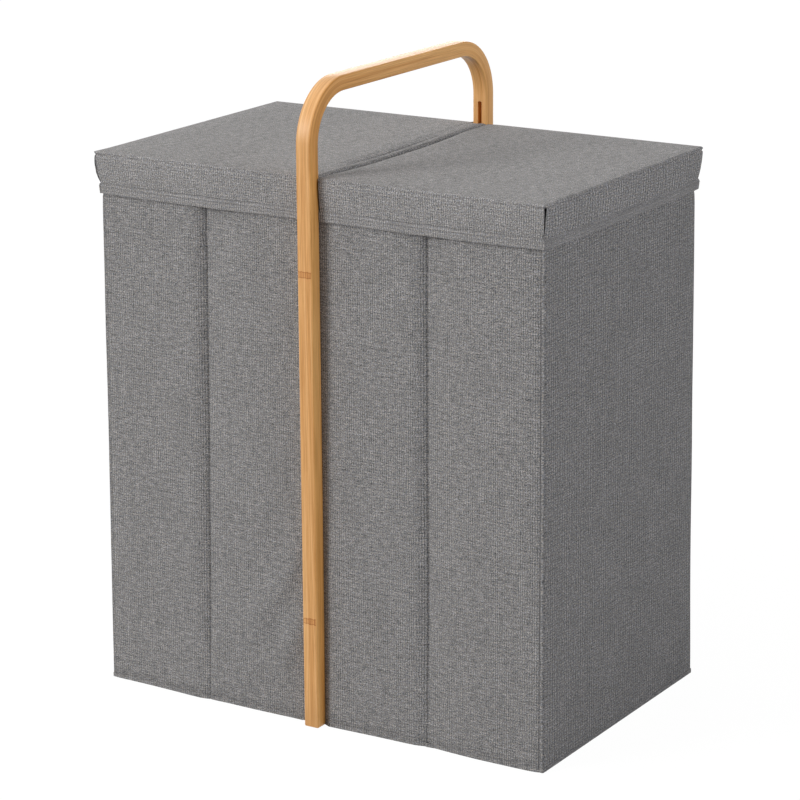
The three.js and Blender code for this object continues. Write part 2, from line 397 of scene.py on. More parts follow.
def bamboo_finish(name):
    """Pressed bamboo: the map's first direction runs across the bar, the second along it, in metres."""
    wood = Finish(name)
    along = wood.weave_map()
    broad = wood.grain(along, 4 * mm, 260 * mm)
    fine = wood.grain(along, 0.9 * mm, 70 * mm, detail=4, roughness=0.6)
    pores = wood.grain(along, 0.5 * mm, 9 * mm)
    base = wood.ramp(
        broad,
        (0.34, (0.560, 0.275, 0.088, 1)),
        (0.50, (0.640, 0.345, 0.130, 1)),
        (0.66, (0.700, 0.410, 0.180, 1)),
    )
    streaks = wood.ramp(fine, (0.36, (0.74, 0.66, 0.52, 1)), (0.58, (1.06, 1.06, 1.06, 1)))
    streaked = wood.mix(0.85, base, streaks)
    flecks = wood.ramp(pores, (0.64, (1, 1, 1, 1)), (0.78, (0.66, 0.50, 0.34, 1)))
    flecked = wood.mix(0.7, streaked, flecks)

    across, length, _ = wood.node("ShaderNodeSeparateXYZ", {"Vector": along}).outputs
    # The side faces are warmer and lighter than the front: partly their own tone, partly painted light
    # making up for the little light that reaches them
    on_side = wood.math("GREATER_THAN", across, side_face_map / 2)
    side_tone_and_light = wood.mix(on_side, flecked, (1.16, 1.12, 0.94, 1))

    from_knot = wood.math("PINGPONG", wood.math("SUBTRACT", length, knot_height), knot_spacing / 2)
    wander = wood.math("SUBTRACT", wood.grain(along, 3 * mm, 400 * mm), 0.5)
    wavy = wood.math("MULTIPLY_ADD", wander, 3.2 * mm, from_knot)
    knot = wood.ramp(
        wood.math("DIVIDE", wavy, 10 * mm),
        (0.20, (0.93, 0.86, 0.76, 1)), (0.28, (0.66, 0.48, 0.31, 1)), (0.36, (1, 1, 1, 1)),
    )
    dashes = wood.ramp(fine, (0.44, (0.62, 0.44, 0.26, 1)), (0.52, (1, 1, 1, 1)))
    near_knot = wood.math("LESS_THAN", wavy, 3.4 * mm)
    marked = wood.mix(wood.math("MULTIPLY", near_knot, 0.8), knot, dashes)
    on_front = wood.math("SUBTRACT", 1.0, on_side)
    wood.surface(wood.mix(on_front, side_tone_and_light, marked), roughness=0.42, specular=0.35)
    wood.bump(fine, 0.12 * mm, strength=0.35)
    return wood.material


grey_cloth = melange_cloth("grey wall cloth", 0.207, contrast=0.88, slubs=0.20)
side_cloth = melange_cloth("grey side cloth", 0.208, contrast=0.82, slubs=0.12, wide=1.9)
# The lid, the strip, the skirts and the hem take the wall cloth at a lighter level: painted light, for the
# brighter light from above on them
lid_cloth = melange_cloth("grey lid cloth", 0.228, contrast=0.9, slubs=0.22)
skirt_cloth = melange_cloth("grey skirt cloth", 0.240, contrast=0.88, slubs=0.10)
side_skirt_cloth = melange_cloth("grey side skirt cloth", 0.240, contrast=0.85, wide=2.1)
hem_cloth = melange_cloth("grey hem cloth", 0.240, contrast=0.75)
lining = plain_cloth("grey lining", (0.19, 0.19, 0.195))
dark_foot_finish = plain_cloth("dark foot finish", (0.020, 0.021, 0.026))
thread = plain_cloth("sewing thread", (0.105, 0.103, 0.103), pitch=0.3 * mm)
board = fibre_board("pressed board")
bamboo = bamboo_finish("pressed bamboo")
edging = plain_cloth("edging cord", (0.045, 0.030, 0.020))


# Making pieces


def placed(name, data):
    """A new object in the scene."""
    made = bpy.data.objects.new(name, data)
    scene.collection.objects.link(made)
    return made


def stops(low, high, step, fine=(), near=(0.5, 1.2, 2.3, 4, 6.5, 10, 14)):
    """Places from low to high, at most about a step apart, and finer ones near each seam, in mm from it."""
    marks = {low, high}
    for seam in fine:
        marks.add(seam)
        for distance in near:
            marks.update((seam - distance * mm, seam + distance * mm))
    kept = sorted(mark for mark in marks if low <= mark <= high)
    places = [kept[0]]
    for mark in kept[1:]:
        gap = mark - places[-1]
        parts = max(1, math.ceil(gap / step - 0.01))
        start = places[-1]
        places += [start + gap * part / parts for part in range(1, parts + 1)]
    return places


def sheet_of(columns, rows):
    """A flat grid in the XY plane, facing +Z, with its lines at these columns and rows."""
    cloth = bmesh.new()
    last_column, last_row = len(columns) - 1, len(rows) - 1
    bmesh.ops.create_grid(cloth, x_segments=last_column, y_segments=last_row, size=0.5)
    for vert in cloth.verts:
        column = round((vert.co.x + 0.5) * last_column)
        row = round((vert.co.y + 0.5) * last_row)
        vert.co = Vector((columns[column], rows[row], 0))
    return cloth


def thicken(cloth, thickness):
    cloth.normal_update()
    bmesh.ops.solidify(cloth, geom=cloth.faces[:], thickness=thickness)


def turn_over(cloth):
    bmesh.ops.reverse_faces(cloth, faces=cloth.faces[:])


def mirror(cloth):
    bmesh.ops.scale(cloth, vec=(-1, 1, 1), verts=cloth.verts[:])
    turn_over(cloth)


def face_out(cloth):
    bmesh.ops.recalc_face_normals(cloth, faces=cloth.faces[:])


def raise_by(cloth, height):
    bmesh.ops.translate(cloth, verts=cloth.verts[:], vec=(0, 0, height))


def verts_of(extruded):
    return [part for part in extruded["geom"] if isinstance(part, bmesh.types.BMVert)]


def sharp_edges(cloth, wanted):
    return [
        edge for edge in cloth.edges
        if len(edge.link_faces) == 2 and edge.calc_face_angle() > edge_angle and wanted(edge)
    ]


def round_off(cloth, parts, radius, segments, affect="EDGES", clamp=False):
    bmesh.ops.bevel(
        cloth, geom=parts, offset=radius, segments=segments,
        profile=0.5, affect=affect, material=-1, clamp_overlap=clamp,
    )


def soften(cloth, radius, segments=3, wanted=lambda edge: True):
    """Rounds the sharp edges of a piece, or those wanted."""
    round_off(cloth, sharp_edges(cloth, wanted), radius, segments, clamp=True)


def lay_weave(cloth, turned_from=math.inf):
    """Maps each face by the plane that it lies in, in metres, with the warp upright or running back.
    A flat face beyond the x that it is turned from has its warp running across."""
    layer = cloth.loops.layers.uv.get("weave") or cloth.loops.layers.uv.new("weave")
    cloth.normal_update()
    for face in cloth.faces:
        normal = face.normal
        flat = abs(normal.z) > max(abs(normal.x), abs(normal.y))
        sideways = abs(normal.x) > abs(normal.y)
        turned = face.calc_center_median().x > turned_from
        for loop in face.loops:
            x, y, z = loop.vert.co
            if flat:
                place = (y + weave_start_y, x) if turned else (x, y)
            else:
                place = (y + weave_start_y, z + weave_start_z) if sideways else (x, z)
            loop[layer].uv = place


def join_doubles(cloth):
    bmesh.ops.remove_doubles(cloth, verts=cloth.verts[:], dist=1e-6)


def mesh_of(name, cloth):
    """The mesh of a construction, which ends there."""
    mesh = bpy.data.meshes.new(name)
    cloth.to_mesh(mesh)
    cloth.free()
    return mesh


def smooth(mesh, sharp_angle):
    for polygon in mesh.polygons:
        polygon.use_smooth = True
    mesh.set_sharp_from_angle(angle=sharp_angle)


def finished(name, cloth, materials, stands_for=()):
    """Turns a mesh under construction into an object of the scene."""
    join_doubles(cloth)
    mesh = mesh_of(name, cloth)
    made = placed(name, mesh)
    for material in materials:
        mesh.materials.append(material)
    smooth(mesh, cloth_sharp_angle)
    if stands_for:
        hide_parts(*stands_for)
    return made


# Shape of the bag


def flared(x, z):
    """Where a place x of the frame comes to lie at a height: the bag widens towards the floor."""
    return x * (1 + (flare * (1 - z / rim) - rim_draw_x) / half_width)


def deepening(z):
    """How far the front and back walls stand out of the frame's at a height."""
    return flare * (1 - z / rim) - rim_draw_y


def foot_swell(x, z, face):
    """How far a front or back wall swells near the floor."""
    share = max(1 - z / swell_top, 0) ** swell_power
    beside_leg = math.exp(-max(abs(x) - leg_swell_from, 0) / leg_swell_reach)
    at_crease = math.exp(-abs(abs(x) - crease) / crease_swell_reach)
    front_swell = front_right_swell if x > 0 else front_left_swell
    leg_swell, crease_swell = back_swell if face > 0 else front_swell
    return share * (leg_swell * beside_leg + crease_swell * at_crease)


def slack_folds(x, z):
    """Two soft folds that run up towards the leg in front, low on the left, steeper on their lower side."""
    height = 0
    for foot_x, foot_z, length in slack_fold_feet:
        run, rise = x - foot_x, z - foot_z
        beside = run * slack_way_z - rise * slack_way_x
        ahead = run * slack_way_x + rise * slack_way_z
        held = fade(ahead, *slack_fold_start) * (1 - fade(ahead, length, length + slack_fold_end))
        spread = slack_fold_below if beside > 0 else slack_fold_above
        height += slack_fold_rise * held * bell(beside, spread)
    return height


def dip(offset, depth, z):
    """How far cloth draws in beside a seam: steeply before it, gently behind it, and pinched in it."""
    reach, power = (steep_reach, steep_power) if offset < 0 else (gentle_reach, gentle_power)
    slope = max(1 - abs(offset) / reach, 0) ** power
    pinch = max(1 - abs(offset) / pinch_reach, 0)
    held = foot_dip_share + (1 - foot_dip_share) * fade(z, 0, foot_dip_height)
    return depth * slope * held + seam_pinch * pinch


def seam_depth(x, z):
    """How far a front or back wall draws in towards its seams."""
    at_creases = sum(dip(x - seam + seam_shift, crease_dip, z) for seam in (-crease, crease))
    at_corners = dip(x - side_face, corner_dip[1], z) + dip(x + side_face, corner_dip[-1], z)
    return at_creases + at_corners


def wall_out(x, z, face):
    """How far the outer face of a front or back wall stands out of the frame's."""
    from_leg = fade(abs(x), *leg_hold)
    out = deepening(z) + foot_swell(x, z, face) + waves(x, z, seed=3.1 * face)
    if face < 0:
        out += slack_folds(x, z)
    return out * from_leg - seam_depth(x, z) - under_skirt * fade(z, *under_skirt_from)


def settle_wall(vert, face):
    """Moves a vertex of a front or back wall from the frame's place to the filled bag's."""
    x, y, z = vert.co
    outer_share = (abs(y) - panel_inner_face) / wall_thickness
    out = wall_out(x, z, face) * outer_share
    pushed_in = max(seam_depth(x, z) - wall_thickness + least_thickness, 0)
    inside = (waves(x, z, seed=11.7 + face, broad=0.3 * mm) - pushed_in) * (1 - outer_share)
    vert.co.y = y + face * (out + inside)
    vert.co.x = flared(x, z)


def settle_side(vert, side):
    """Moves a vertex of a side wall; its ends lie flush with the front and back walls beside them."""
    x, y, z = vert.co
    face = 1 if y > 0 else -1
    outer_share = (abs(x) - side_face) / wall_thickness
    sway = waves(y, z, seed=5.9 * side) * fade(half_depth - abs(y), end_still, end_loose)
    seam = 0.5 * dip(abs(y) - half_depth, corner_dip[side], z) + under_skirt * fade(z, *under_skirt_from)
    vert.co.x = flared(x, z) + side * (sway - seam) * outer_share
    beside = wall_out(side * side_face, z, face)
    vert.co.y = y + face * beside * fade(abs(y), half_depth - end_loose, half_depth - end_flush)


# Walls

wall_rows = stops(wall_foot - 0.2 * mm, rim, step=11 * mm)


def soften_wall(cloth):
    """A round rim, and crisp edges where the wall meets its neighbours and the floor."""
    soften(cloth, rim_radius, wanted=lambda edge: all(end.co.z > rim - 0.1 * mm for end in edge.verts))
    soften(cloth, seam_radius, segments=2)


def front_or_back_skin(side, bin_name, face, face_name):
    """One cloth over both boards of a wall, drawn in at the crease between them."""
    seams = [crease - side * seam_shift, side_face]
    columns = stops(inner_wall_low.x, outer_wall_high.x, step=6.4 * mm, fine=seams)
    cloth = sheet_of([side * column for column in columns], wall_rows)
    for vert in cloth.verts:
        vert.co = Vector((vert.co.x, face * half_depth, vert.co.y))
    if face * side > 0:
        turn_over(cloth)
    thicken(cloth, wall_thickness)
    soften_wall(cloth)
    lay_weave(cloth)
    for vert in cloth.verts:
        settle_wall(vert, face)
    parts = [f"{bin_name}_{face_name}_{part}_wall" for part in ("inner", "outer")]
    made = finished(
        f"{bin_name}_{face_name}_cloth", cloth, [grey_cloth],
        stands_for=[f"{part}_{layer}" for part in parts for layer in ("cover", "board")],
    )
    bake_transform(made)


def standing_sheet(x, columns, rows):
    """A sheet that stands at x along Y, and faces away from the middle."""
    cloth = sheet_of(columns, rows)
    for vert in cloth.verts:
        vert.co = Vector((x, vert.co.x, vert.co.y))
    if x < 0:
        turn_over(cloth)
    return cloth


def side_skin(side, bin_name):
    ends = [-half_depth, half_depth]
    columns = stops(*ends, step=8 * mm, fine=ends, near=(6, 9, 13, 18))
    cloth = standing_sheet(side * half_width, columns, wall_rows)
    thicken(cloth, wall_thickness)

    def upright_outer(edge):
        first, second = (end.co for end in edge.verts)
        outer = min(abs(first.x), abs(second.x)) > half_width - 0.1 * mm
        return outer and abs(first.z - second.z) > 1 * mm

    soften(cloth, side_corner_radius, segments=5, wanted=upright_outer)
    soften_wall(cloth)
    lay_weave(cloth)
    for vert in cloth.verts:
        settle_side(vert, side)
    made = finished(
        f"{bin_name}_side_cloth", cloth, [side_cloth],
        stands_for=[f"{bin_name}_side_wall_{layer}" for layer in ("cover", "board")],
    )
    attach(made, f"{bin_name}_side_wall")


def centre_skin(side, bin_name):
    columns = stops(-half_depth, half_depth, step=12 * mm)
    rows = stops(wall_foot, rim, step=14 * mm)
    cloth = standing_sheet(side * centre_wall_high.x, columns, rows)
    thicken(cloth, centre_wall_high.x - centre_wall_low.x)
    soften_wall(cloth)
    lay_weave(cloth)
    for vert in cloth.verts:
        into_bin = (abs(vert.co.x) - centre_wall_low.x) / wall_thickness
        sway = waves(vert.co.y, vert.co.z, seed=21.3 * side, broad=0.35 * mm)
        vert.co.x -= side * abs(sway) * into_bin
    made = finished(
        f"{bin_name}_centre_cloth", cloth, [lining],
        stands_for=[f"{bin_name}_centre_wall_cover"],
    )
    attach(made, "root")


for side, bin_name in bins:
    for face, face_name in ((-1, "front"), (1, "back")):
        front_or_back_skin(side, bin_name, face, face_name)
    side_skin(side, bin_name)
    centre_skin(side, bin_name)


# Floor of the bag


def bottom():
    """A sheet with a low lip of the outer cloth, which the walls stand behind, near black underneath and
    along the foot.
    """
    seams = [-side_face, -crease - seam_shift, crease - seam_shift, side_face]
    columns = stops(-half_width, half_width, step=12 * mm, fine=seams, near=(0.5, 1.2, 4, 10, 14))
    rows = stops(-half_depth, half_depth, step=12 * mm)
    cloth = sheet_of(columns, rows)
    lip = [edge for edge in cloth.edges if edge.is_boundary]
    raised = bmesh.ops.extrude_edge_only(cloth, edges=lip)
    for vert in verts_of(raised):
        vert.co.z = tray_high.z - tray_low.z
    face_out(cloth)
    lowest = min(cloth.faces, key=lambda face: face.calc_center_median().z)
    if lowest.normal.z > 0:
        turn_over(cloth)
    thicken(cloth, tray_thickness)
    edge_x, edge_y = half_width - 0.1 * mm, half_depth - 0.1 * mm
    corners = sharp_edges(cloth, lambda edge: all(
        abs(end.co.x) > edge_x and abs(end.co.y) > edge_y for end in edge.verts
    ))
    round_off(cloth, corners, side_corner_radius, segments=4)
    soften(cloth, tray_edge_radius, segments=2)
    lay_weave(cloth)
    for face in cloth.faces:
        # Faces near the floor take the near-black finish: a dark band along the foot
        face.material_index = 1 if face.calc_center_median().z < dark_height else 0
    for vert in cloth.verts:
        x, y, _ = vert.co
        to_edge = fade(abs(y), half_depth - lip_reach, half_depth - end_flush)
        out = wall_out(math.copysign(min(abs(x), side_face), x), wall_foot, 1 if y > 0 else -1)
        vert.co.y = y + math.copysign(out * to_edge, y)
        vert.co.x = flared(x, wall_foot)
    made = finished(
        "bottom_cloth_and_lip", cloth, [grey_cloth, dark_foot_finish],
        stands_for=["bottom_cloth"],
    )
    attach(made, "root")


def base_board(side, bin_name):
    """The loose base of a bin, a board covered with the lining."""
    depth = panel_inner_face - base_end_gap
    columns = stops(base_low.x + base_inner_gap, side_face - base_outer_gap, step=12 * mm)
    cloth = sheet_of([side * column for column in columns], stops(-depth, depth, step=12 * mm))
    raise_by(cloth, base_high.z)
    if side < 0:
        turn_over(cloth)
    thicken(cloth, base_high.z - base_low.z)
    soften(cloth, base_edge_radius)
    lay_weave(cloth)
    for vert in cloth.verts:
        x, y, z = vert.co
        top_share = (z - base_low.z) / (base_high.z - base_low.z)
        vert.co.z += top_share * waves(x, y, seed=31.1, broad=0.12 * mm, fine=0.05 * mm)
    made = finished(
        f"{bin_name}_covered_base", cloth, [lining],
        stands_for=[f"{bin_name}_base_board"],
    )
    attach(made, "root")


bottom()
for side, bin_name in bins:
    base_board(side, bin_name)


# Lids: the cloth is cut as one sheet, a top with three flaps, and folded down

lid_x = hem_high.x - hem_thickness - skirt_inset
lid_y = hem_high.y - hem_thickness - skirt_inset
fold_x = lid_x - lid_fold_radius
fold_y = lid_y - lid_fold_radius
fold_length = lid_fold_radius * math.pi / 2
flap_length = lid_top - lid_fold_radius - skirt_foot


def round_fold(over, depth):
    """How far out from a fold's start, and below the top, a point this far past it and this deep lies."""
    if over <= 0:
        return over, depth
    if over < fold_length:
        angle = over / lid_fold_radius
        inner = lid_fold_radius - depth
        return inner * math.sin(angle), lid_fold_radius - inner * math.cos(angle)
    return lid_fold_radius - depth, lid_fold_radius + over - fold_length


def bow(share):
    """1 in the middle of a span and 0 at its ends."""
    return 4 * share * (1 - share) if 0 < share < 1 else 0


def skirt_out(along, corner, draw, drop_share, seed):
    """How far a skirt stands out of its plumb face: at a place along it, and a share of the way down."""
    if drop_share <= 0:
        return 0
    drop = drop_share * flap_length
    near_corner = fade(abs(along), corner - corner_draw_reach, corner)
    fullness = skirt_swell * (1 - corner_swell_loss * near_corner)
    swell = fullness * math.sin(math.pi * drop_share**skirt_swell_power)
    drawn = (draw + corner_draw * near_corner) * drop_share**skirt_draw_power
    pressed = fold_press * bow(drop / fold_press_height)
    tucked = hem_tuck * bell(flap_length - hem_height - drop, hem_tuck_reach)
    return swell - drawn - pressed - tucked + waves(along, drop, seed, broad=0.9 * mm)


def front_out(x, drop_share):
    return skirt_out(x, lid_x, skirt_draw_front, drop_share, seed=43.0)


def side_out(y, drop_share):
    return skirt_out(y, lid_y, skirt_draw_side, drop_share, seed=41.0)


def corner_setback(past, drop_share):
    """How far the end of a flap curves in, towards the round corner of the hem."""
    reach = min(max(past, 0), 0.999 * hem_corner_radius)
    sagitta = hem_corner_radius - math.sqrt(hem_corner_radius**2 - reach**2)
    return sagitta * fade(drop_share, *corner_rounds)


def lift_at(x, y, drop_share):
    """How far the cloth stands above its level: crowned on top, rolled at the edges, sagging at the hem."""
    across = bow((x - lid_hinge) / (lid_x - lid_hinge))
    along = bow((y + lid_y) / (2 * lid_y))
    to_edge = min(lid_x - x, lid_y - abs(y))
    roll = 1 - max(1 - max(to_edge, 0) / edge_roll_reach, 0) ** 2
    on_top = lid_crown * across * along + lid_edge_roll * roll
    sag = hem_sag * (across if abs(y) > fold_y else along)
    return on_top * (1 - drop_share) - sag * drop_share


def hinge_level(side, y):
    """Height of the crease between the strip and one of the lids; the right one sags."""
    if side < 0:
        return lid_top + lid_edge_roll - left_hinge_step
    sagging = hinge_low + hinge_rise * ((y - hinge_low_y) / hinge_rise_reach) ** 2
    return min(sagging, lid_top - least_step)


def settle_lid(place, side):
    """Where a point of the flat cut, with its depth as -z, lies on the right lid, or on the left one
    before it's mirrored."""
    across, back, depth = place.x, place.y, -place.z
    over_x, over_y = across - fold_x, abs(back) - fold_y
    out_x, down_x = round_fold(over_x, depth)
    out_y, down_y = round_fold(over_y, depth)
    down = down_x + down_y - (depth if over_x <= 0 or over_y <= 0 else 0)
    x, y = fold_x + out_x, fold_y + out_y
    drop_x = min(max(over_x - fold_length, 0) / flap_length, 1)
    drop_y = min(max(over_y - fold_length, 0) / flap_length, 1)
    drop_share = max(drop_x, drop_y)
    if over_x > max(over_y, 0):
        to_corner = fade(y, lid_y - corner_blend, lid_y)
        narrowed = (1 - slit_share) * fade(drop_x, *slit_narrows) + slit_share * fade(drop_x, *slit_closes)
        slit = slit_width * fade(y, lid_y - slit_reach, lid_y) * (1 - narrowed)
        x += side_out(back, drop_x) - corner_setback(y - lid_y + hem_corner_radius, drop_x)
        if side < 0 and back < 0:
            loose = (1 - fade(drop_x, *loose_flap_shares)) * min(over_x / loose_flap_start, 1)
            x += loose_flap_bulge * loose * fade(y, lid_y - loose_flap_reach, lid_y)
        y += front_out(across, drop_x) * to_corner - slit * fade(over_x, 0, fold_length)
    elif over_y > 0:
        to_corner = fade(x, lid_x - corner_blend, lid_x)
        to_bar = 1 - fade(x, lid_hinge, lid_hinge + inner_end_reach)
        y += front_out(across, drop_y) - corner_setback(x - lid_x + hem_corner_radius, drop_y)
        x += side_out(back, drop_y) * to_corner + inner_end_gap * to_bar * fade(over_y, 0, 2 * fold_length)
    y = math.copysign(y, back)
    lift = lift_at(x, y, drop_share)
    level = lid_top - down + lift
    if drop_share == 0:
        to_edge = min(across - lid_hinge, -over_x, -over_y)
        level += waves(across, back, seed=47.0, broad=0.6 * mm) * fade(to_edge, 0, 30 * mm)
        reach, power = hinge_roll[side]
        near_hinge = max(1 - (across - lid_hinge) / reach, 0) ** power
        rolled = lift + (lid_top - hinge_level(side, y)) * (1 - depth / skirt_thickness)
        level -= near_hinge * rolled
    return Vector((x, y, level))


def lid_skin(side, bin_name):
    near_fold = (0.8, 1.6, 2.4, 3.4, 4.4, 5.4, 7)
    cut_x, flap_row = fold_x + fold_length / 2, fold_y + fold_length / 2
    far_x, far_row = fold_x + fold_length + flap_length, fold_y + fold_length + flap_length
    hem_top_x, hem_top_row = far_x - hem_height, far_row - hem_height
    columns = stops(lid_hinge, far_x, step=6.5 * mm, fine=[lid_hinge, cut_x, hem_top_x], near=near_fold)
    rows = stops(
        -far_row, far_row, step=6.5 * mm,
        fine=[-hem_top_row, -flap_row, flap_row, hem_top_row], near=near_fold,
    )

    def flap_of(face):
        """0 on top, 1 in front or at the back, 2 at the side, 3 in a corner, which is cut away."""
        middle = face.calc_center_median()
        return (abs(middle.y) > flap_row) + 2 * (middle.x > cut_x)

    cloth = sheet_of(columns, rows)
    corners = [face for face in cloth.faces if flap_of(face) == 3]
    bmesh.ops.delete(cloth, geom=corners, context="FACES")
    thicken(cloth, skirt_thickness)
    soften(cloth, lid_edge_radius, segments=2)
    lay_weave(cloth, turned_from=cut_x)
    for face in cloth.faces:
        face.material_index = min(flap_of(face), 2)
    more_on_top = lid_top - lid_low.z - skirt_thickness
    for vert in cloth.verts:
        inner_share = -vert.co.z / skirt_thickness
        on_top = 1 - fade(max(vert.co.x - fold_x, abs(vert.co.y) - fold_y), -2 * mm, 1 * mm)
        place = settle_lid(vert.co, side)
        place.z -= more_on_top * inner_share * on_top
        vert.co = place
    if side < 0:
        mirror(cloth)
    flaps = [f"{bin_name}_lid_{flap}_skirt_{part}" for flap in ("front", "back", "side")
             for part in ("cover", "stiffener")]
    made = finished(
        f"{bin_name}_lid_cloth", cloth, [lid_cloth, skirt_cloth, side_skirt_cloth],
        stands_for=[f"{bin_name}_lid_cover", f"{bin_name}_lid_board"] + flaps,
    )
    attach(made, f"{bin_name}_lid")


# The hem goes round three sides of a skirt; a run is the way along it from the front inner end

hem_straight = lid_x - hem_corner_radius - lid_hinge
hem_turn = hem_corner_radius * math.pi / 2
hem_run = 2 * (hem_straight + hem_turn + lid_y - hem_corner_radius)


def hem_place(run):
    """Point and outward direction in plan of the right lid's skirt line."""
    centre_x, centre_y = lid_x - hem_corner_radius, lid_y - hem_corner_radius
    if run > hem_run / 2:
        x, y, out_x, out_y = hem_place(hem_run - run)
        return x, -y, out_x, -out_y
    if run <= hem_straight:
        return lid_hinge + run, -lid_y, 0, -1
    if run < hem_straight + hem_turn:
        angle = (run - hem_straight) / hem_corner_radius
        out_x, out_y = math.sin(angle), -math.cos(angle)
        return centre_x + hem_corner_radius * out_x, -centre_y + hem_corner_radius * out_y, out_x, out_y
    return lid_x, -centre_y + run - hem_straight - hem_turn, 1, 0


def on_skirt(run, height, stand_off):
    """A point on the skirt at a run and a height above its foot, standing off its outer face."""
    x, y, out_x, out_y = hem_place(run)
    drop_share = 1 - height / flap_length
    out = front_out(x, drop_share) * out_y**2 + side_out(y, drop_share) * out_x**2 + stand_off
    level = skirt_foot + height + lift_at(x, y, drop_share)
    return Vector((x + out_x * out, y + out_y * out, level))


def hem_band(side, bin_name):
    turns = [hem_straight + hem_turn / 2, hem_run - hem_straight - hem_turn / 2]
    columns = stops(0, hem_run, step=6 * mm, fine=turns, near=(0.7, 1.4, 2.1, 2.8, 3.5, 5))
    cloth = sheet_of(columns, [height * mm for height in hem_rows])
    thicken(cloth, hem_thickness)
    soften(cloth, 0.3 * mm, segments=2)
    for vert in cloth.verts:
        run, height, depth = vert.co
        stitched = hem_seam_depth * bell(height - stitch_height, hem_seam_reach)
        tucked = hem_end_tuck * fade(height - hem_height, *hem_end)
        untucked = hem_tuck * bell(height - hem_height, hem_tuck_reach)
        stand_off = hem_stand_off + depth - stitched - tucked + untucked
        wander = waves(run, 0, seed=61.0 + side, broad=0.15 * mm, fine=0.3 * mm)
        vert.co = on_skirt(min(max(run, 0), hem_run), height + wander, stand_off)
    face_out(cloth)
    lay_weave(cloth)
    if side < 0:
        mirror(cloth)
    made = finished(
        f"{bin_name}_hem_band", cloth, [hem_cloth],
        stands_for=[f"{bin_name}_lid_hem"],
    )
    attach(made, f"{bin_name}_lid")


def hem_stitches(side, bin_name):
    """Single stitches along the hem's seam."""
    flip = Vector((side, 1, 1))
    size = Matrix.Diagonal((stitch_thickness, stitch_thickness, stitch_length, 1))
    row = bmesh.new()
    for number in range(int(hem_run / stitch_pitch)):
        run = (number + 0.5) * stitch_pitch
        point = on_skirt(run, stitch_height, stitch_stand_off)
        ahead = on_skirt(min(run + 1 * mm, hem_run), stitch_height, stitch_stand_off)
        turn = ((ahead - point) * flip).to_track_quat("Z", "Y").to_matrix().to_4x4()
        place = Matrix.Translation(point * flip) @ turn @ size
        bmesh.ops.create_uvsphere(row, u_segments=6, v_segments=4, radius=0.5, matrix=place)
    lay_weave(row)
    made = finished(f"{bin_name}_hem_stitches", row, [thread])
    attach(made, f"{bin_name}_lid")


for side, bin_name in bins:
    lid_skin(side, bin_name)
    hem_band(side, bin_name)
    hem_stitches(side, bin_name)


# Strip between the lids


def centre_strip():
    low, high = -lid_hinge + strip_left_gap, lid_hinge - strip_right_gap
    columns = stops(low, high, step=0.7 * mm)
    cloth = sheet_of(columns, stops(strip_low.y, strip_high.y, step=8 * mm))
    raise_by(cloth, strip_high.z)
    thicken(cloth, strip_high.z - strip_low.z)
    soften(cloth, 0.3 * mm, segments=2)
    lay_weave(cloth)
    for vert in cloth.verts:
        x, y, z = vert.co
        top_share = (z - strip_low.z) / (strip_high.z - strip_low.z)
        over_cord = max(x / high, 0)
        left_share = 1 - (1 - max(x / low, 0)) ** 2
        end_roll = lid_edge_roll * max(1 - (strip_high.y - abs(y)) / edge_roll_reach, 0) ** 2
        flush = lid_top + lid_edge_roll - 0.2 * mm - end_roll
        groove_level = min(hinge_level(1, y) + groove_rise, flush)
        level = groove_level + (flush - groove_level) * left_share + cord_rise * bow(over_cord)
        level += (hinge_level(1, y) - groove_level) * over_cord**4
        level -= cord_groove * bell(x, groove_reach)
        vert.co.z += top_share * (level + waves(x, y, seed=53.0, broad=0.3 * mm) - strip_high.z)
    made = finished(
        "strip_between_lids", cloth, [lid_cloth],
        stands_for=["centre_strip"],
    )
    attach(made, "root")


centre_strip()


# Bamboo arch

bar_outer_y = arch_high.y
bar_inner_y = bar_outer_y - bar_thickness
bend_y = bar_outer_y - bend_outer_radius
bend_z = arch_high.z - bend_outer_radius
bar_middle_radius = bend_outer_radius - bar_thickness / 2


def along_bar(point):
    """How far along the middle of the bar a point lies, from the foot in front."""
    quarter = bar_middle_radius * math.pi / 2
    if point.z <= bend_z:
        run = point.z
    elif abs(point.y) > bend_y:
        run = bend_z + bar_middle_radius * math.atan2(point.z - bend_z, abs(point.y) - bend_y)
    else:
        return bend_z + quarter + point.y + bend_y
    whole = 2 * (bend_z + quarter + bend_y)
    return run if point.y < 0 else whole - run


def bar_depth(point):
    """How deep in the bar a point lies, from its outer face."""
    if point.z <= bend_z:
        return bar_outer_y - abs(point.y)
    if abs(point.y) > bend_y:
        return bend_outer_radius - math.hypot(abs(point.y) - bend_y, point.z - bend_z)
    return arch_high.z - point.z


def bar_section():
    """The rounded section of the bar, as one face at the foot in front."""
    bar = bmesh.new()
    bmesh.ops.create_grid(bar, x_segments=1, y_segments=1, size=0.5)
    for vert in bar.verts:
        vert.co.x *= 2 * arch_high.x
        vert.co.y = vert.co.y * bar_thickness - (bar_outer_y - bar_thickness / 2)
    round_off(bar, bar.verts[:], bar_edge_radius, segments=3, affect="VERTICES")
    return bar


def carry_on(bar, end, steps, move, motion):
    """Extrudes the end face of the bar step by step, each with the same motion."""
    for _ in range(steps):
        grown = bmesh.ops.extrude_face_region(bar, geom=[end])
        bmesh.ops.delete(bar, geom=[end], context="FACES_ONLY")
        end = next(part for part in grown["geom"] if isinstance(part, bmesh.types.BMFace))
        move(bar, verts=end.verts[:], **motion)
    return end


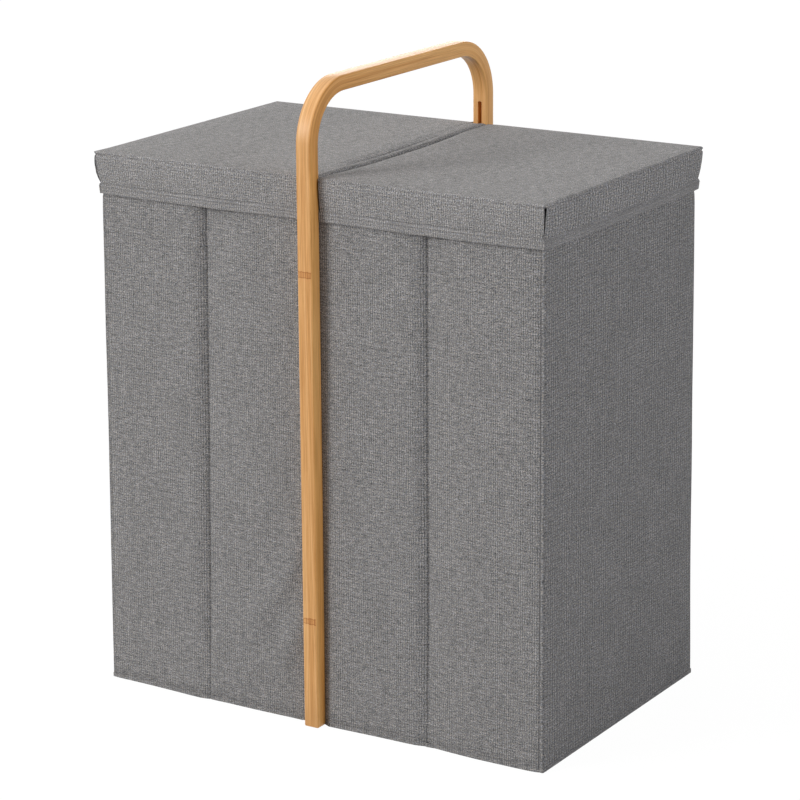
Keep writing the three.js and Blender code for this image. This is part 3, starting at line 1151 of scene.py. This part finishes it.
def groove_cutter(face):
    """A flat finger as wide as the groove, round at its top, for one leg."""
    finger = bmesh.new()
    bmesh.ops.create_circle(finger, segments=24, radius=groove_width / 2, cap_ends=True)
    for vert in finger.verts:
        low = vert.co.y < 0
        height = -5 * mm if low else groove_top - groove_width / 2 + vert.co.y
        vert.co = Vector((vert.co.x, 0, height))
        if low:
            vert.co.x = math.copysign(groove_width / 2, vert.co.x) if abs(vert.co.x) > 1e-7 else 0
    start = bar_inner_y - 4 * mm
    end = bar_inner_y + groove_depth
    bmesh.ops.translate(finger, verts=finger.verts[:], vec=(0, face * start, 0))
    grown = bmesh.ops.extrude_face_region(finger, geom=finger.faces[:])
    bmesh.ops.translate(finger, verts=verts_of(grown), vec=(0, face * (end - start), 0))
    join_doubles(finger)
    face_out(finger)
    return placed("groove_cutter", mesh_of("groove_cutter", finger))


def carve(bar, cutters):
    """Takes the cutters out of the bar's mesh, and away."""
    for cutter in cutters:
        modifier = bar.modifiers.new("groove", "BOOLEAN")
        modifier.operation = "DIFFERENCE"
        modifier.solver = "EXACT"
        modifier.object = cutter
    shown = bar.evaluated_get(bpy.context.evaluated_depsgraph_get())
    bar.data = bpy.data.meshes.new_from_object(shown)
    bar.modifiers.clear()
    for cutter in cutters:
        bpy.data.objects.remove(cutter)


def bamboo_arch():
    bar = bar_section()
    end = bar.faces[:][0]
    translate, rotate = bmesh.ops.translate, bmesh.ops.rotate
    turn = Matrix.Rotation(-math.pi / 2 / bend_steps, 3, "X")
    for steps, move, motion in (
        (leg_steps, translate, {"vec": (0, 0, bend_z / leg_steps)}),
        (bend_steps, rotate, {"cent": (0, -bend_y, bend_z), "matrix": turn}),
        (rail_steps, translate, {"vec": (0, 2 * bend_y / rail_steps, 0)}),
        (bend_steps, rotate, {"cent": (0, bend_y, bend_z), "matrix": turn}),
        (leg_steps, translate, {"vec": (0, 0, -bend_z / leg_steps)}),
    ):
        end = carry_on(bar, end, steps, move, motion)
    bmesh.ops.holes_fill(bar, edges=bar.edges[:])
    face_out(bar)
    feet = sharp_edges(bar, lambda edge: all(end.co.z < 1 * mm for end in edge.verts))
    round_off(bar, feet, foot_edge_radius, segments=2)
    made = finished("bamboo_bar", bar, [bamboo], stands_for=["bamboo_arch"])
    bpy.context.view_layer.update()
    carve(made, [groove_cutter(-1), groove_cutter(1)])
    mesh = made.data
    layer = mesh.uv_layers.get("weave") or mesh.uv_layers.new(name="weave")
    for polygon in mesh.polygons:
        on_side = abs(polygon.normal.x) > 0.7
        for loop in polygon.loop_indices:
            point = mesh.vertices[mesh.loops[loop].vertex_index].co
            across = bar_depth(point) + side_face_map if on_side else point.x
            layer.data[loop].uv = (across, along_bar(point))
    smooth(mesh, bar_sharp_angle)
    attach(made, "root")


bamboo_arch()


# Nodes of the frame that show as they are

for name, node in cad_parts.items():
    if node.hide_render:
        continue
    material = edging if "edging" in name or "stop" in name else board
    node.data.materials.clear()
    node.data.materials.append(material)


# Camera, light and floor

camera_data = bpy.data.cameras.new("camera")
camera_data.lens = camera_lens
camera_data.sensor_width = 36
camera_data.clip_end = 100
camera = placed("camera", camera_data)
camera.location = camera_place
camera.rotation_euler = camera_turn
scene.camera = camera

for name, place, width, watts, color in lamps:
    light = bpy.data.lights.new(name, "AREA")
    light.shape = "SQUARE"
    light.size = width
    light.energy = watts
    light.color = color
    lamp = placed(name, light)
    lamp.location = place
    lamp.rotation_euler = (lamp_aim - Vector(place)).to_track_quat("-Z", "Y").to_euler()


def seen_white(nodes, strength_elsewhere):
    """A strength that is 1 for what the camera, a gloss or a clear material sees, else another."""
    rays = nodes.node("ShaderNodeLightPath").outputs
    seen = nodes.math("MAXIMUM", rays["Is Camera Ray"], rays["Is Glossy Ray"])
    seen = nodes.math("MAXIMUM", seen, rays["Is Transmission Ray"])
    spread = {"Value": seen, "To Min": strength_elsewhere, "To Max": 1.0}
    return nodes.node("ShaderNodeMapRange", spread).outputs[0]


def world_light():
    world = bpy.data.worlds.new("studio")
    world.use_nodes = True
    scene.world = world
    nodes = Nodes(world.node_tree)
    background = world.node_tree.nodes["Background"].inputs
    nodes.feed(background["Color"], grey(1))
    nodes.feed(background["Strength"], seen_white(nodes, world_strength))


def floor():
    """A matt floor that is nearly white to the camera."""
    plane = bmesh.new()
    bmesh.ops.create_grid(plane, x_segments=1, y_segments=1, size=30)
    raise_by(plane, -floor_drop)
    made = placed("floor", mesh_of("floor", plane))
    material = bpy.data.materials.new("pale floor")
    material.use_nodes = True
    material.node_tree.nodes.clear()
    nodes = Nodes(material.node_tree)
    matt = nodes.node("ShaderNodeBsdfDiffuse", {"Color": grey(floor_shade)}).outputs[0]
    glow = nodes.node("ShaderNodeEmission", {"Color": grey(1), "Strength": floor_glow}).outputs[0]
    share = nodes.math("MULTIPLY", seen_white(nodes, 0.0), glow_share)
    mixed = nodes.node("ShaderNodeMixShader", {0: share, 1: matt, 2: glow}).outputs[0]
    nodes.node("ShaderNodeOutputMaterial", {"Surface": mixed})
    made.data.materials.append(material)


world_light()
floor()

scene.view_settings.view_transform = "Standard"
